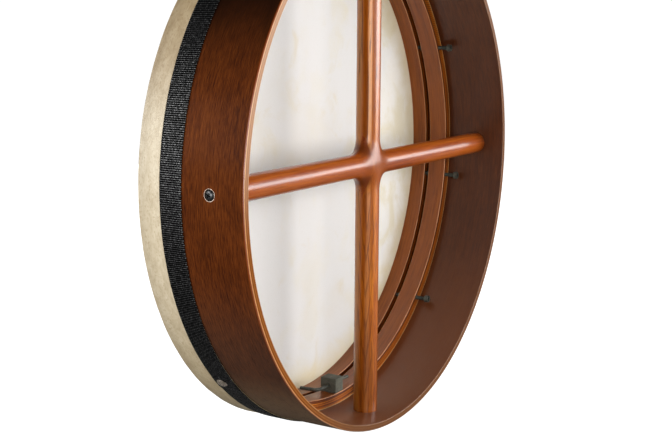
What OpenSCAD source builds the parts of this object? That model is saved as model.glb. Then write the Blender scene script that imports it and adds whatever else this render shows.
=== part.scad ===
// A tunable bodhran: an 18 inch Irish frame drum, 97 mm deep, standing upright.
// The drum's axis is Y. The open back faces -Y, the skin faces +Y, and +Z is up.
// The origin is the middle of the wooden grip cross, where the hand holds the drum.
// Units are millimetres.

/* [Shell] */
// Outside diameter of the bent plywood shell
shell_d = 457.2; // [300:0.1:500]
// Depth of the shell from its back rim to its front edge
shell_depth = 97; // [60:0.5:160]
// Wall thickness of the shell
shell_wall = 5.6; // [4:0.1:10]
// Small round on the edges of the shell's rims
rim_round = 1; // [0.4:0.1:2]

/* [Skin and tape] */
// Thickness of the goatskin
skin_t = 0.6; // [0.3:0.1:1.2]
// How far the raised skin stands forward of the shell's front edge
skin_rise = 1.2; // [0.6:0.1:4]
// Depth from the back rim at which the skin's trimmed edge ends, under the tape
skin_end = 57; // [40:0.5:80]
// Thickness of the ribbed edge tape
tape_t = 0.7; // [0.4:0.1:1.5]
// Depth of the tape's back edge from the back rim
tape_back = 56.1; // [40:0.1:80]
// Width of the tape
tape_w = 20.6; // [10:0.1:40]
// Angle round the shell of the tape's lapped end
lap_angle = -136.9; // [-180:0.1:180]
// Arc of the lapped end, in degrees
lap_arc = 5; // [2:0.5:10]
// Head diameter of the domed tack that holds the lapped end
tack_d = 9.6; // [5:0.1:14]

/* [Hoops] */
// Inside diameter of the fixed hoop and of the tuning hoop
hoop_id = 426; // [300:0.5:440]
// Depth of the fixed hoop's back face from the back rim
fixed_back = 60; // [40:0.1:80]
// Width of the fixed hoop along the drum's axis
fixed_w = 18.6; // [10:0.1:30]
// Depth of the tuning hoop's back face from the back rim
tuning_back = 83; // [60:0.1:90]
// Gap between the tuning hoop and the inside of the shell
tuning_gap = 0.8; // [0.2:0.1:2]

/* [Tuning screws] */
// Radius from the drum's axis to each tuning screw
screw_r = 216.7; // [150:0.1:230]
// Angle of the first tuning screw
screw_a0 = -9.2; // [-36:0.1:36]
// Shank diameter of an M4 tuning screw
screw_d = 4; // [3:0.5:6]
// Length of the shank below the head
screw_l = 35; // [20:1:50]
// Head diameter
head_d = 7; // [5:0.1:10]
// Head height
head_h = 4; // [3:0.1:6]
// Width across the flats of the hexagon socket
socket_af = 3; // [2:0.5:5]
// Depth from the back rim of the underside of the head
head_under = 50.2; // [40:0.1:56]

/* [Grip cross] */
// Depth of the cross's centre line from the back rim
grip_depth = 31; // [15:0.5:60]
// Diameter of the upright round bar
upright_d = 21.2; // [15:0.1:30]
// Diameter of the level round bar
level_d = 20.6; // [15:0.1:30]
// Radius of the carved fillets in the cross's inner corners
hub_fillet = 6; // [3:0.5:20]

/* [Key and block] */
// Length of the rubber block round the shell
block_l = 13; // [8:0.5:30]
// Width of the rubber block along the drum's axis
block_w = 16; // [8:0.5:30]
// Width across the flats of the hexagon key
key_af = 3; // [2:0.5:5]
// Overall length of the key's long arm
key_long = 53; // [40:1:100]
// Overall length of the key's short arm
key_short = 20.5; // [15:0.5:40]

/* [Hidden] */
$fn = 180;
shell_r = shell_d / 2;
shell_ri = shell_r - shell_wall;
hoop_ri = hoop_id / 2;
tuning_ro = shell_ri - tuning_gap;
tuning_front = shell_depth + skin_rise;
skin_ri = shell_r + 0.02;
skin_ro = skin_ri + skin_t;
tape_ri = skin_ro + 0.02;
tape_ro = tape_ri + tape_t;
fit = 0.06;
pilot = 0.05;
bar_end_r = shell_ri - 0.02;
counterbore_d = 11.5;
counterbore_floor = shell_r - 1.4;
bar_screw_d = 3.8;
bar_screw_head_d = 8.8;
bar_screw_l = 32;
block_top = 199.5;
block_x = 3.5;
block_back = 60.5;
key_z = -206.3;
key_y = 68.4;
key_end_x = 31;
key_bend_r = 4.2;
key_hole_r = key_af / sqrt(3) + 0.06;

// turns depth from the back rim, along local Z, into the drum's own place on Y
module axial() {
  translate([0, -grip_depth, 0]) rotate([-90, 0, 0]) children();
}

// a straight hollow band with chamfered edges, between two depths from the back rim
module band(ri, ro, y0, y1, c) {
  axial() rotate_extrude() polygon([
    [ri + c, y0], [ro - c, y0], [ro, y0 + c], [ro, y1 - c],
    [ro - c, y1], [ri + c, y1], [ri, y1 - c], [ri, y0 + c]]);
}

// a rod along the drum's axis at radius r and angle a, between two depths
module rod(r, a, d, y0, y1) {
  translate([r * cos(a), y0 - grip_depth, r * sin(a)]) rotate([-90, 0, 0]) cylinder(d = d, h = y1 - y0, $fn = 48);
}

// places its child, made along +X from the drum's axis, at each bar end
module at_bar_ends() {
  for (a = [0, 90, 180, 270]) rotate([0, a, 0]) children();
}

// bent plywood shell with four counterbored holes for the bar screws and a small one for the tack
module shell() {
  color([0.30, 0.15, 0.08]) difference() {
    axial() rotate_extrude() polygon([
      [shell_ri + 0.5 * rim_round, 0], [shell_r - rim_round, 0],
      [shell_r - 0.3 * rim_round, 0.3 * rim_round], [shell_r, rim_round],
      [shell_r, shell_depth - rim_round], [shell_r - 0.3 * rim_round, shell_depth - 0.3 * rim_round],
      [shell_r - rim_round, shell_depth], [shell_ri + 0.5 * rim_round, shell_depth],
      [shell_ri, shell_depth - 0.5 * rim_round], [shell_ri, 0.5 * rim_round]]);
    at_bar_ends() {
      translate([shell_ri - 4, 0, 0]) rotate([0, 90, 0]) cylinder(d = bar_screw_d + 0.5, h = 20, $fn = 48);
      translate([counterbore_floor, 0, 0]) rotate([0, 90, 0]) cylinder(d = counterbore_d, h = 10, $fn = 64);
    }
    tack_shank(0.05);
  }
}

// one goatskin: the flat playing face lifted by the tuning hoop, the slope to the
// shell's front edge, and the flap that is glued down the outside
module head_skin() {
  color([0.88, 0.83, 0.74]) difference() {
    axial() rotate_extrude() polygon([
      [0, tuning_front + 0.02], [tuning_ro - 0.4, tuning_front + 0.02], [skin_ri, shell_depth + 0.03],
      [skin_ri, skin_end], [skin_ro, skin_end], [skin_ro, shell_depth + 0.1],
      [skin_ro - 0.25, shell_depth + 0.5], [tuning_ro - 0.1, tuning_front + 0.02 + skin_t],
      [0, tuning_front + 0.02 + skin_t]]);
    tack_shank(0.05);
  }
}

// ribbed tape round the shell over the skin's edge, its end lapped over its start
module edge_tape() {
  a = lap_angle;
  color([0.09, 0.09, 0.10]) difference() {
    union() {
      axial() difference() {
        translate([0, 0, tape_back]) cylinder(r = tape_ro, h = tape_w);
        translate([0, 0, tape_back - 1]) cylinder(r = tape_ri, h = tape_w + 2);
      }
      intersection() {
        axial() difference() {
          translate([0, 0, tape_back]) cylinder(r = tape_ro + tape_t, h = tape_w);
          translate([0, 0, tape_back - 1]) cylinder(r = tape_ro - 0.2, h = tape_w + 2);
        }
        rotate([0, -a, 0]) translate([0, tape_back - grip_depth - 1, 0]) rotate([-90, 0, 0])
          linear_extrude(height = tape_w + 2) polygon([[0, 0], [260, -0.01], [260 * cos(lap_arc), -260 * sin(lap_arc)]]);
      }
    }
    tack_shank(0.05);
  }
}

// the pin of the tape tack, along the shell's radius
module tack_shank(gap) {
  rotate([0, -(lap_angle + 1.6), 0]) translate([shell_r - 4, 0, 0]) translate([0, 68.5 - grip_depth, 0])
    rotate([0, 90, 0]) cylinder(d = 1.8 + 2 * gap, h = 7, $fn = 24);
}

// domed nickel tack driven through the lapped tape into the shell
module tape_tack() {
  ht = tape_ro + tape_t + 0.02;
  dome_h = 2.2;
  ball_r = (tack_d * tack_d / 4 + dome_h * dome_h) / (2 * dome_h);
  color([0.75, 0.72, 0.66]) rotate([0, -(lap_angle + 1.6), 0]) translate([ht, 68.5 - grip_depth, 0])
    rotate([0, 90, 0]) union() {
      intersection() {
        translate([0, 0, dome_h - ball_r]) sphere(r = ball_r, $fn = 96);
        cylinder(d = tack_d + 1, h = dome_h + 1, $fn = 64);
      }
      translate([0, 0, -5.8]) cylinder(d = 1.8, h = 6, $fn = 24);
    }
}

// loose hoop that the screws push against the skin, with a blind seat for each screw tip
module tuning_hoop() {
  color([0.48, 0.28, 0.17]) difference() {
    band(hoop_ri, tuning_ro, tuning_back, tuning_front, 0.5);
    for (i = [0:9]) rod(screw_r, screw_a0 + 36 * i, screw_d + 2 * fit, tuning_back - 1, head_under + screw_l + 0.05);
  }
}

// hoop glued inside the shell, drilled for the screws and counterbored for the T-nuts
module fixed_hoop() {
  color([0.48, 0.28, 0.17]) difference() {
    band(hoop_ri, shell_ri - 0.02, fixed_back, fixed_back + fixed_w, 0.5);
    for (i = [0:9]) {
      rod(screw_r, screw_a0 + 36 * i, 4.5, fixed_back - 1, fixed_back + fixed_w + 1);
      rod(screw_r, screw_a0 + 36 * i, 5.54, fixed_back + fixed_w - 9, fixed_back + fixed_w + 1);
    }
  }
}

// ten T-nuts: a barrel in the fixed hoop and a round flange on its front face
module t_nuts() {
  f = fixed_back + fixed_w;
  color([0.20, 0.19, 0.18]) for (i = [0:9]) difference() {
    union() {
      rod(screw_r, screw_a0 + 36 * i, 5.5, f - 8.9, f + 0.5);
      rod(screw_r, screw_a0 + 36 * i, 7.2, f + 0.02, f + 1);
    }
    rod(screw_r, screw_a0 + 36 * i, screw_d + 2 * fit, f - 10, f + 2);
  }
}

// one M4 socket-head tuning screw; its tip turns in the tuning hoop's seat
module tuning_screw(i) {
  a = screw_a0 + 36 * i;
  color([0.14, 0.14, 0.13]) difference() {
    union() {
      rod(screw_r, a, screw_d, head_under - 0.5, head_under + screw_l);
      translate([screw_r * cos(a), head_under - head_h - grip_depth, screw_r * sin(a)]) rotate([-90, 0, 0])
        rotate_extrude($fn = 64) polygon([[0, 0], [head_d / 2 - 0.4, 0], [head_d / 2, 0.4], [head_d / 2, head_h], [0, head_h]]);
    }
    translate([screw_r * cos(a), head_under - head_h - 1 - grip_depth, screw_r * sin(a)]) rotate([-90, 0, 0])
      linear_extrude(height = 3) circle(r = socket_af / sqrt(3), $fn = 6);
  }
}

module tuning_screw_01() { tuning_screw(0); }
module tuning_screw_02() { tuning_screw(1); }
module tuning_screw_03() { tuning_screw(2); }
module tuning_screw_04() { tuning_screw(3); }
module tuning_screw_05() { tuning_screw(4); }
module tuning_screw_06() { tuning_screw(5); }
module tuning_screw_07() { tuning_screw(6); }
module tuning_screw_08() { tuning_screw(7); }
module tuning_screw_09() { tuning_screw(8); }
module tuning_screw_10() { tuning_screw(9); }

module upright_rod() { cylinder(d = upright_d, h = 2 * shell_r, center = true, $fn = 96); }
module level_rod() { rotate([0, 90, 0]) cylinder(d = level_d, h = 2 * shell_r, center = true, $fn = 96); }
module inside_shell() { rotate([90, 0, 0]) cylinder(r = bar_end_r, h = 80, center = true); }
module half_space(s) { translate([-60, s > 0 ? 0 : -60, -60]) cube([120, 60, 120]); }

// the carved fillets in the four inner corners of the cross
module hub_webs() {
  u = upright_d / 2;
  v = level_d / 2;
  for (sx = [-1, 1], sz = [-1, 1]) rotate([90, 0, 0]) linear_extrude(height = 12, center = true)
    difference() {
      polygon([[sx * 7, sz * 7], [sx * (u + hub_fillet), sz * 7], [sx * (u + hub_fillet), sz * (v + hub_fillet)], [sx * 7, sz * (v + hub_fillet)]]);
      translate([sx * (u + hub_fillet), sz * (v + hub_fillet)]) circle(r = hub_fillet, $fn = 64);
    }
}

// pilot holes for the screws in the bars' ends
module bar_pilots() {
  at_bar_ends() translate([counterbore_floor - bar_screw_l - 1, 0, 0]) rotate([0, 90, 0]) cylinder(d = bar_screw_d + 2 * pilot, h = bar_screw_l + 8, $fn = 48);
}

// upright bar: keeps the back half of the half-lap joint, with its half of the fillets
module upright_bar() {
  color([0.62, 0.33, 0.14]) difference() {
    union() {
      difference() {
        intersection() { upright_rod(); inside_shell(); }
        intersection() { level_rod(); half_space(1); }
      }
      difference() {
        intersection() { hub_webs(); half_space(-1); }
        level_rod();
      }
    }
    bar_pilots();
  }
}

// level bar: keeps the front half of the half-lap joint, with its half of the fillets
module level_bar() {
  color([0.60, 0.31, 0.13]) difference() {
    union() {
      difference() {
        intersection() { level_rod(); inside_shell(); }
        intersection() { upright_rod(); half_space(-1); }
      }
      difference() {
        intersection() { hub_webs(); half_space(1); }
        upright_rod();
      }
    }
    bar_pilots();
  }
}

// four black pan-head cross-recessed wood screws, one through the shell into each bar end
module bar_screws() {
  color([0.10, 0.10, 0.10]) at_bar_ends() difference() {
    translate([counterbore_floor + 0.02, 0, 0]) rotate([0, 90, 0]) union() {
      rotate_extrude($fn = 64) polygon([
        [0, 0], [bar_screw_head_d / 2, 0], [bar_screw_head_d / 2, 1], [4.1, 1.7], [3.2, 2.3], [1.8, 2.6], [0, 2.6]]);
      translate([0, 0, -bar_screw_l]) cylinder(d = bar_screw_d, h = bar_screw_l + 0.5, $fn = 48);
    }
    translate([counterbore_floor + 1.2, -0.45, -2.3]) cube([4, 0.9, 4.6]);
    translate([counterbore_floor + 1.2, -2.3, -0.45]) cube([4, 4.6, 0.9]);
  }
}

// rubber block glued on the fixed hoop, with a round hole that grips the key
module key_block() {
  color([0.20, 0.21, 0.18]) difference() {
    intersection() {
      translate([block_x - block_l / 2, block_back - grip_depth, -hoop_ri - 2]) cube([block_l, block_w, hoop_ri + 2 - block_top]);
      rotate([90, 0, 0]) cylinder(r = hoop_ri - 0.02, h = 160, center = true);
    }
    translate([block_x - 20, key_y - grip_depth, key_z]) rotate([0, 90, 0]) cylinder(r = key_hole_r, h = 40, $fn = 48);
  }
}

// hexagon key for the tuning screws: long arm through the block, short arm towards the skin
module hex_key() {
  hex_r = key_af / sqrt(3);
  bend_x = key_end_x - key_long + key_af / 2 + key_bend_r;
  color([0.13, 0.13, 0.12]) translate([0, key_y - grip_depth, key_z]) rotate([-3, 0, 0]) union() {
    translate([bend_x, 0, 0]) rotate([0, 90, 0]) rotate([0, 0, 0]) linear_extrude(height = key_end_x - bend_x) circle(r = hex_r, $fn = 6);
    translate([bend_x - key_bend_r, key_bend_r, 0]) rotate([-90, 0, 0]) rotate([0, 0, 90])
      linear_extrude(height = key_short - key_bend_r - key_af / 2) circle(r = hex_r, $fn = 6);
    translate([bend_x, key_bend_r, 0]) intersection() {
      rotate_extrude($fn = 96) translate([key_bend_r, 0]) circle(r = hex_r, $fn = 6);
      translate([-20, -20, -5]) cube([20, 20, 10]);
    }
  }
}

shell();
head_skin();
edge_tape();
tape_tack();
tuning_hoop();
fixed_hoop();
t_nuts();
tuning_screw_01();
tuning_screw_02();
tuning_screw_03();
tuning_screw_04();
tuning_screw_05();
tuning_screw_06();
tuning_screw_07();
tuning_screw_08();
tuning_screw_09();
tuning_screw_10();
upright_bar();
level_bar();
bar_screws();
key_block();
hex_key();
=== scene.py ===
"""Looks of a tunable bodhran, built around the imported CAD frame.

Lengths in the tables below are millimetres. "Depth" is the distance from the shell's back rim along the drum's axis (+Y).
"""
import math

import bmesh
import bpy
import numpy as np
from mathutils import Matrix, Vector


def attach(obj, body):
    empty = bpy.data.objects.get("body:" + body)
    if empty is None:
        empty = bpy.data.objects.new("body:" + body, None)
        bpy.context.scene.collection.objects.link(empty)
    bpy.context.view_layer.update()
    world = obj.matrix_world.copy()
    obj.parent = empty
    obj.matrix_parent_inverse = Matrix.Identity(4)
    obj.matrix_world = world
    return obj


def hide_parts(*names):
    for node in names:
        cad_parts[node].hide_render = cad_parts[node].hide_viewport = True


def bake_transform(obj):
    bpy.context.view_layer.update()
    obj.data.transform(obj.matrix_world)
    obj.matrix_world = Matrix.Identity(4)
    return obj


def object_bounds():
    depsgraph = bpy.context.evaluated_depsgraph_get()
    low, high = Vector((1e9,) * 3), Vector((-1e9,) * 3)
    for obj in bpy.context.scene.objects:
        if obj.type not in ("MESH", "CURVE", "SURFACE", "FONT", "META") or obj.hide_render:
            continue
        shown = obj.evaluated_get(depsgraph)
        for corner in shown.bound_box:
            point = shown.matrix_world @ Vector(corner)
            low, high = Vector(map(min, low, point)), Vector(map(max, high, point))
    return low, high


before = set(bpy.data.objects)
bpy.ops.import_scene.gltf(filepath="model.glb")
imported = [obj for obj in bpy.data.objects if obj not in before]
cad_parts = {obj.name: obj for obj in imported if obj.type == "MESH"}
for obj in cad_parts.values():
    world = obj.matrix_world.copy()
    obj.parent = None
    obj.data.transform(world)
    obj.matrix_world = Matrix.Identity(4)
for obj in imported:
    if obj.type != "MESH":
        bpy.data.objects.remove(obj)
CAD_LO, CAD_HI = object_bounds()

MM = 0.001
GRIP = 31.0                       # depth of the grip cross's centre line, which is Y = 0
RNG = np.random.default_rng(7)

# ------------------------------------------------------------------ camera
cam_data = bpy.data.cameras.new("camera")
cam = bpy.data.objects.new("camera", cam_data)
bpy.context.scene.collection.objects.link(cam)
YAW, PITCH, ROLL = 1.0228067, -0.11792953, 0.00749909
fwd = Vector((math.sin(YAW) * math.cos(PITCH), math.cos(YAW) * math.cos(PITCH), math.sin(PITCH)))
rgt = Vector((math.cos(YAW), -math.sin(YAW), 0.0))
upv = rgt.cross(fwd)
r2 = math.cos(ROLL) * rgt + math.sin(ROLL) * upv
u2 = -math.sin(ROLL) * rgt + math.cos(ROLL) * upv
rot = Matrix((r2, u2, -fwd)).transposed()
cam.matrix_world = Matrix.Translation((-0.92056, -0.52945, 0.12940)) @ rot.to_4x4()
cam_data.sensor_fit = "HORIZONTAL"
cam_data.sensor_width = 36.0
cam_data.lens = 65.054
cam_data.shift_x = -0.00036
cam_data.shift_y = -0.08997
cam_data.clip_start, cam_data.clip_end = 0.01, 50.0
bpy.context.scene.camera = cam
bpy.context.scene.view_settings.view_transform = "Standard"
bpy.context.scene.view_settings.look = "None"


# ------------------------------------------------------------------ mesh helpers
def link(obj):
    bpy.context.scene.collection.objects.link(obj)
    return obj


def finish_mesh(name, bm, mat, sharp=38.0, weld=None):
    if weld:
        bmesh.ops.remove_doubles(bm, verts=bm.verts, dist=weld)
    bmesh.ops.recalc_face_normals(bm, faces=bm.faces)
    if bm.calc_volume(signed=True) < 0:
        bmesh.ops.reverse_faces(bm, faces=bm.faces)
    me = bpy.data.meshes.new(name)
    bm.to_mesh(me)
    bm.free()
    me.shade_smooth()
    me.set_sharp_from_angle(angle=math.radians(sharp))
    obj = link(bpy.data.objects.new(name, me))
    if mat is not None:
        me.materials.append(mat)
    return obj


def grid_mesh(name, P, mat, wrap_u=True, wrap_v=False, caps=(None, None), sharp=38.0, weld=None):
    """P is an array [rows, columns, 3] in mm. caps are points that close the first and last row."""
    rows, cols = P.shape[:2]
    verts = [tuple(p * MM) for p in P.reshape(-1, 3)]
    faces = []
    for k in range(rows if wrap_v else rows - 1):
        k2 = (k + 1) % rows
        for j in range(cols if wrap_u else cols - 1):
            j2 = (j + 1) % cols
            faces.append((k * cols + j, k * cols + j2, k2 * cols + j2, k2 * cols + j))
    for row, cap in zip((0, rows - 1), caps):
        if cap is not None:
            verts.append(tuple(np.asarray(cap, float) * MM))
            c = len(verts) - 1
            for j in range(cols):
                faces.append((row * cols + j, row * cols + (j + 1) % cols, c))
    me = bpy.data.meshes.new(name + "_raw")
    me.from_pydata(verts, [], faces)
    bm = bmesh.new()
    bm.from_mesh(me)
    bpy.data.meshes.remove(me)
    return finish_mesh(name, bm, mat, sharp, weld)


def rounded(points, radii, seg=4, hold=0.3, closed=True, step=None):
    """A profile with its corners rounded, a holding point beside each round and long runs divided."""
    pts = [np.array(p, float) for p in points]
    n, out = len(pts), []
    for i, p in enumerate(pts):
        r = radii[i] if hasattr(radii, "__len__") else radii
        if (not closed and i in (0, n - 1)) or r <= 0:
            out.append(p)
            continue
        a, b = pts[i - 1] - p, pts[(i + 1) % n] - p
        la, lb = np.linalg.norm(a), np.linalg.norm(b)
        a, b = a / la, b / lb
        ang = math.acos(max(-1, min(1, float(a @ b))))
        if ang > math.pi - 0.02:
            out.append(p)
            continue
        t = min(r / math.tan(ang / 2), 0.45 * la, 0.45 * lb)
        rr = t * math.tan(ang / 2)
        bis = (a + b) / np.linalg.norm(a + b)
        c = p + bis * (rr / math.sin(ang / 2))
        s, e = p + a * t, p + b * t
        if t + hold < 0.48 * la:
            out.append(s + a * hold)
        vs, ve = s - c, e - c
        tot = math.acos(max(-1, min(1, float(vs @ ve) / (rr * rr))))
        for k in range(seg + 1):
            f = k / seg
            out.append(c + (math.sin((1 - f) * tot) * vs + math.sin(f * tot) * ve) / math.sin(tot))
        if t + hold < 0.48 * lb:
            out.append(e + b * hold)
    if step:
        full, m = [], len(out)
        for i in range(m if closed else m - 1):
            p, q = out[i], out[(i + 1) % m]
            full.append(p)
            k = int(np.linalg.norm(q - p) // step)
            for j in range(1, k + 1):
                full.append(p + (q - p) * j / (k + 1))
        if not closed:
            full.append(out[-1])
        out = full
    return np.array(out)


def ring(name, profile, mat, n=360, sharp=38.0, shape=None):
    """A closed profile (radius, depth) turned round the drum's axis. shape(angle, r, d) may return changed r, d."""
    ang = np.arange(n) * 2 * math.pi / n
    R = np.repeat(profile[:, :1], n, 1)
    D = np.repeat(profile[:, 1:2], n, 1)
    A = np.repeat(ang[None, :], len(profile), 0)
    if shape:
        R, D = shape(A, R, D)
    P = np.stack([R * np.cos(A), D - GRIP, R * np.sin(A)], -1)
    return grid_mesh(name, P, mat, wrap_v=True, sharp=sharp)


def turned(profile, n=48, first_pole=True, last_pole=True, shape=None):
    """Verts and faces of a profile (radius, z) turned round local Z. The ends may be on the axis."""
    prof = np.array(profile, float)
    ang = np.arange(n) * 2 * math.pi / n
    verts, faces, rows = [], [], []
    for k, (r, z) in enumerate(prof):
        if (k == 0 and first_pole) or (k == len(prof) - 1 and last_pole):
            verts.append((0.0, 0.0, z))
            rows.append([len(verts) - 1])
            continue
        row = []
        for a in ang:
            rr, zz = shape(a, r, z, k) if shape else (r, z)
            verts.append((rr * math.cos(a), rr * math.sin(a), zz))
            row.append(len(verts) - 1)
        rows.append(row)
    for a, b in zip(rows[:-1], rows[1:]):
        for j in range(n):
            j2 = (j + 1) % n
            if len(a) == 1:
                faces.append((a[0], b[j2], b[j]))
            elif len(b) == 1:
                faces.append((a[j], a[j2], b[0]))
            else:
                faces.append((a[j], a[j2], b[j2], b[j]))
    return verts, faces


def build(name, parts, mat, sharp=38.0, weld=None):
    """parts is a list of (verts in mm, faces, matrix)."""
    bm = bmesh.new()
    for verts, faces, M in parts:
        vs = [bm.verts.new((M @ Vector(v)) * MM) for v in verts]
        for f in faces:
            if len(set(f)) > 2:
                try:
                    bm.faces.new([vs[i] for i in f])
                except ValueError:
                    pass
    return finish_mesh(name, bm, mat, sharp, weld)


def place(x, y, z, local_z, local_x):
    """A matrix whose local Z and X point along the given directions, with its origin at a point in mm."""
    w = Vector(local_z).normalized()
    u = (Vector(local_x) - Vector(local_x).dot(w) * w).normalized()
    v = w.cross(u)
    M = Matrix((u, v, w)).transposed().to_4x4()
    M.translation = (x, y, z)
    return M


def tidy(me):
    """Merges points closer than 1.5 micrometres and removes folded faces that have no thickness."""
    bm = bmesh.new()
    bm.from_mesh(me)
    bmesh.ops.remove_doubles(bm, verts=bm.verts, dist=1.5e-6)
    bmesh.ops.triangulate(bm, faces=[f for f in bm.faces if len(f.verts) > 4])
    bm.verts.index_update()
    same = {}
    for f in bm.faces:
        same.setdefault(frozenset(v.index for v in f.verts), []).append(f)
    fold = [f for g in same.values() if len(g) > 1 for f in g]
    while fold:
        bmesh.ops.delete(bm, geom=fold, context="FACES_ONLY")
        fold = [f for f in bm.faces if any(len(e.link_faces) == 1 for e in f.edges) and any(len(e.link_faces) > 2 for e in f.edges)]
    bmesh.ops.delete(bm, geom=[e for e in bm.edges if not e.link_faces], context="EDGES")
    bmesh.ops.delete(bm, geom=[v for v in bm.verts if not v.link_faces], context="VERTS")
    bm.to_mesh(me)
    bm.free()


def boolean(obj, cutters, op="DIFFERENCE", sharp=38.0):
    """Applies exact booleans and removes the cutters."""
    for c in cutters:
        m = obj.modifiers.new("cut", "BOOLEAN")
        m.operation, m.solver, m.object = op, "EXACT", c
    dg = bpy.context.evaluated_depsgraph_get()
    dg.update()
    me = bpy.data.meshes.new_from_object(obj.evaluated_get(dg), depsgraph=dg)
    obj.modifiers.clear()
    old = obj.data
    obj.data = me
    bpy.data.meshes.remove(old)
    me.name = obj.name
    tidy(me)
    for c in cutters:
        bpy.data.objects.remove(c)
    me.shade_smooth()
    me.set_sharp_from_angle(angle=math.radians(sharp))
    return obj


def rod(name, p, direction, r, length, n=32, flare=None):
    """A closed straight rod, a cutter. flare is (radius at the far end, length of the flare)."""
    prof = [(0, 0), (r, 0)]
    if flare:
        prof += [(r, length - flare[1]), (flare[0], length), (0, length)]
    else:
        prof += [(r, length), (0, length)]
    v, f = turned(prof, n)
    ref = (0, 1, 0) if abs(Vector(direction).normalized().y) < 0.9 else (1, 0, 0)
    return build(name, [(v, f, place(*p, direction, ref))], None)


# ------------------------------------------------------------------ material helpers
def lin(r, g, b):
    """A colour given as 0 to 255 display values, as linear light."""
    return tuple(((c / 255) / 12.92 if c / 255 <= 0.04045 else ((c / 255 + 0.055) / 1.055) ** 2.4) for c in (r, g, b))


class Mat:
    def __init__(self, name):
        self.m = bpy.data.materials.new(name)
        self.m.use_nodes = True
        self.t = self.m.node_tree
        self.t.nodes.clear()
        self.out = self.new("ShaderNodeOutputMaterial")
        self._xyz = None

    def new(self, kind, **kw):
        n = self.t.nodes.new(kind)
        for k, v in kw.items():
            setattr(n, k, v)
        return n

    def put(self, sock, v):
        if isinstance(v, bpy.types.NodeSocket):
            self.t.links.new(v, sock)
        elif v is not None:
            if hasattr(v, "__len__") and len(v) == 3 and sock.type == "RGBA":
                v = (*v, 1.0)
            sock.default_value = v

    def math(self, op, a, b=None, c=None, clamp=False):
        n = self.new("ShaderNodeMath", operation=op, use_clamp=clamp)
        for i, v in enumerate((a, b, c)):
            self.put(n.inputs[i], v)
        return n.outputs[0]

    def xyz(self):
        if self._xyz is None:
            tc = self.new("ShaderNodeTexCoord")
            s = self.new("ShaderNodeSeparateXYZ")
            self.t.links.new(tc.outputs["Object"], s.inputs[0])
            self._xyz = tuple(s.outputs)
            self.vecout = tc.outputs["Object"]
        return self._xyz

    def vec(self, x, y, z):
        n = self.new("ShaderNodeCombineXYZ")
        for i, v in enumerate((x, y, z)):
            self.put(n.inputs[i], v)
        return n.outputs[0]

    def scaled(self, sx, sy, sz, ox=0.0, oy=0.0, oz=0.0):
        x, y, z = self.xyz()
        return self.vec(self.math("MULTIPLY_ADD", x, sx, ox), self.math("MULTIPLY_ADD", y, sy, oy), self.math("MULTIPLY_ADD", z, sz, oz))

    def noise(self, vec, scale=1.0, detail=2.0, rough=0.5, dist=0.0):
        n = self.new("ShaderNodeTexNoise")
        n.noise_dimensions = "3D"
        self.put(n.inputs["Vector"], vec)
        self.put(n.inputs["Scale"], scale)
        self.put(n.inputs["Detail"], detail)
        self.put(n.inputs["Roughness"], rough)
        self.put(n.inputs["Distortion"], dist)
        return n.outputs[0]

    def smooth(self, v, lo, hi, a=0.0, b=1.0):
        n = self.new("ShaderNodeMapRange", interpolation_type="SMOOTHSTEP")
        for i, x in enumerate((v, lo, hi, a, b)):
            self.put(n.inputs[i], x)
        return n.outputs[0]

    def linear(self, v, lo, hi, a=0.0, b=1.0):
        n = self.new("ShaderNodeMapRange")
        for i, x in enumerate((v, lo, hi, a, b)):
            self.put(n.inputs[i], x)
        return n.outputs[0]

    def ramp(self, fac, stops, interp="LINEAR"):
        n = self.new("ShaderNodeValToRGB")
        self.put(n.inputs[0], fac)
        n.color_ramp.interpolation = interp
        els = n.color_ramp.elements
        while len(els) > 1:
            els.remove(els[-1])
        els[0].position, els[0].color = stops[0][0], (*stops[0][1], 1)
        for p, c in stops[1:]:
            e = els.new(p)
            e.color = (*c, 1)
        return n.outputs[0]

    def mix(self, fac, a, b, mode="MIX"):
        n = self.new("ShaderNodeMix", data_type="RGBA", blend_type=mode)
        n.clamp_factor = True
        self.put(n.inputs[0], fac)
        self.put(n.inputs[6], a)
        self.put(n.inputs[7], b)
        return n.outputs[2]

    def bump(self, height, strength, distance, normal=None):
        n = self.new("ShaderNodeBump")
        self.put(n.inputs["Height"], height)
        self.put(n.inputs["Strength"], strength)
        self.put(n.inputs["Distance"], distance)
        if normal is not None:
            self.put(n.inputs["Normal"], normal)
        return n.outputs[0]

    def principled(self, **kw):
        n = self.new("ShaderNodeBsdfPrincipled")
        for k, v in kw.items():
            self.put(n.inputs[k.replace("_", " ")], v)
        return n.outputs[0]

    def surface(self, shader):
        self.t.links.new(shader, self.out.inputs["Surface"])
        return self.m

    def radius(self):
        x, _, z = self.xyz()
        return self.math("SQRT", self.math("ADD", self.math("MULTIPLY", x, x), self.math("MULTIPLY", z, z)))


def wood_tone(M, fine, coarse, wide, lo, mid, hi, w=(0.45, 0.35, 0.2), centre=0.5, spread=0.16):
    """Three layers of grain mixed into one tone, and its colour."""
    t = M.math("ADD", M.math("MULTIPLY", fine, w[0]), M.math("ADD", M.math("MULTIPLY", coarse, w[1]), M.math("MULTIPLY", wide, w[2])))
    return t, M.ramp(t, [(centre - spread, lo), (centre, mid), (centre + spread, hi)])


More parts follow.
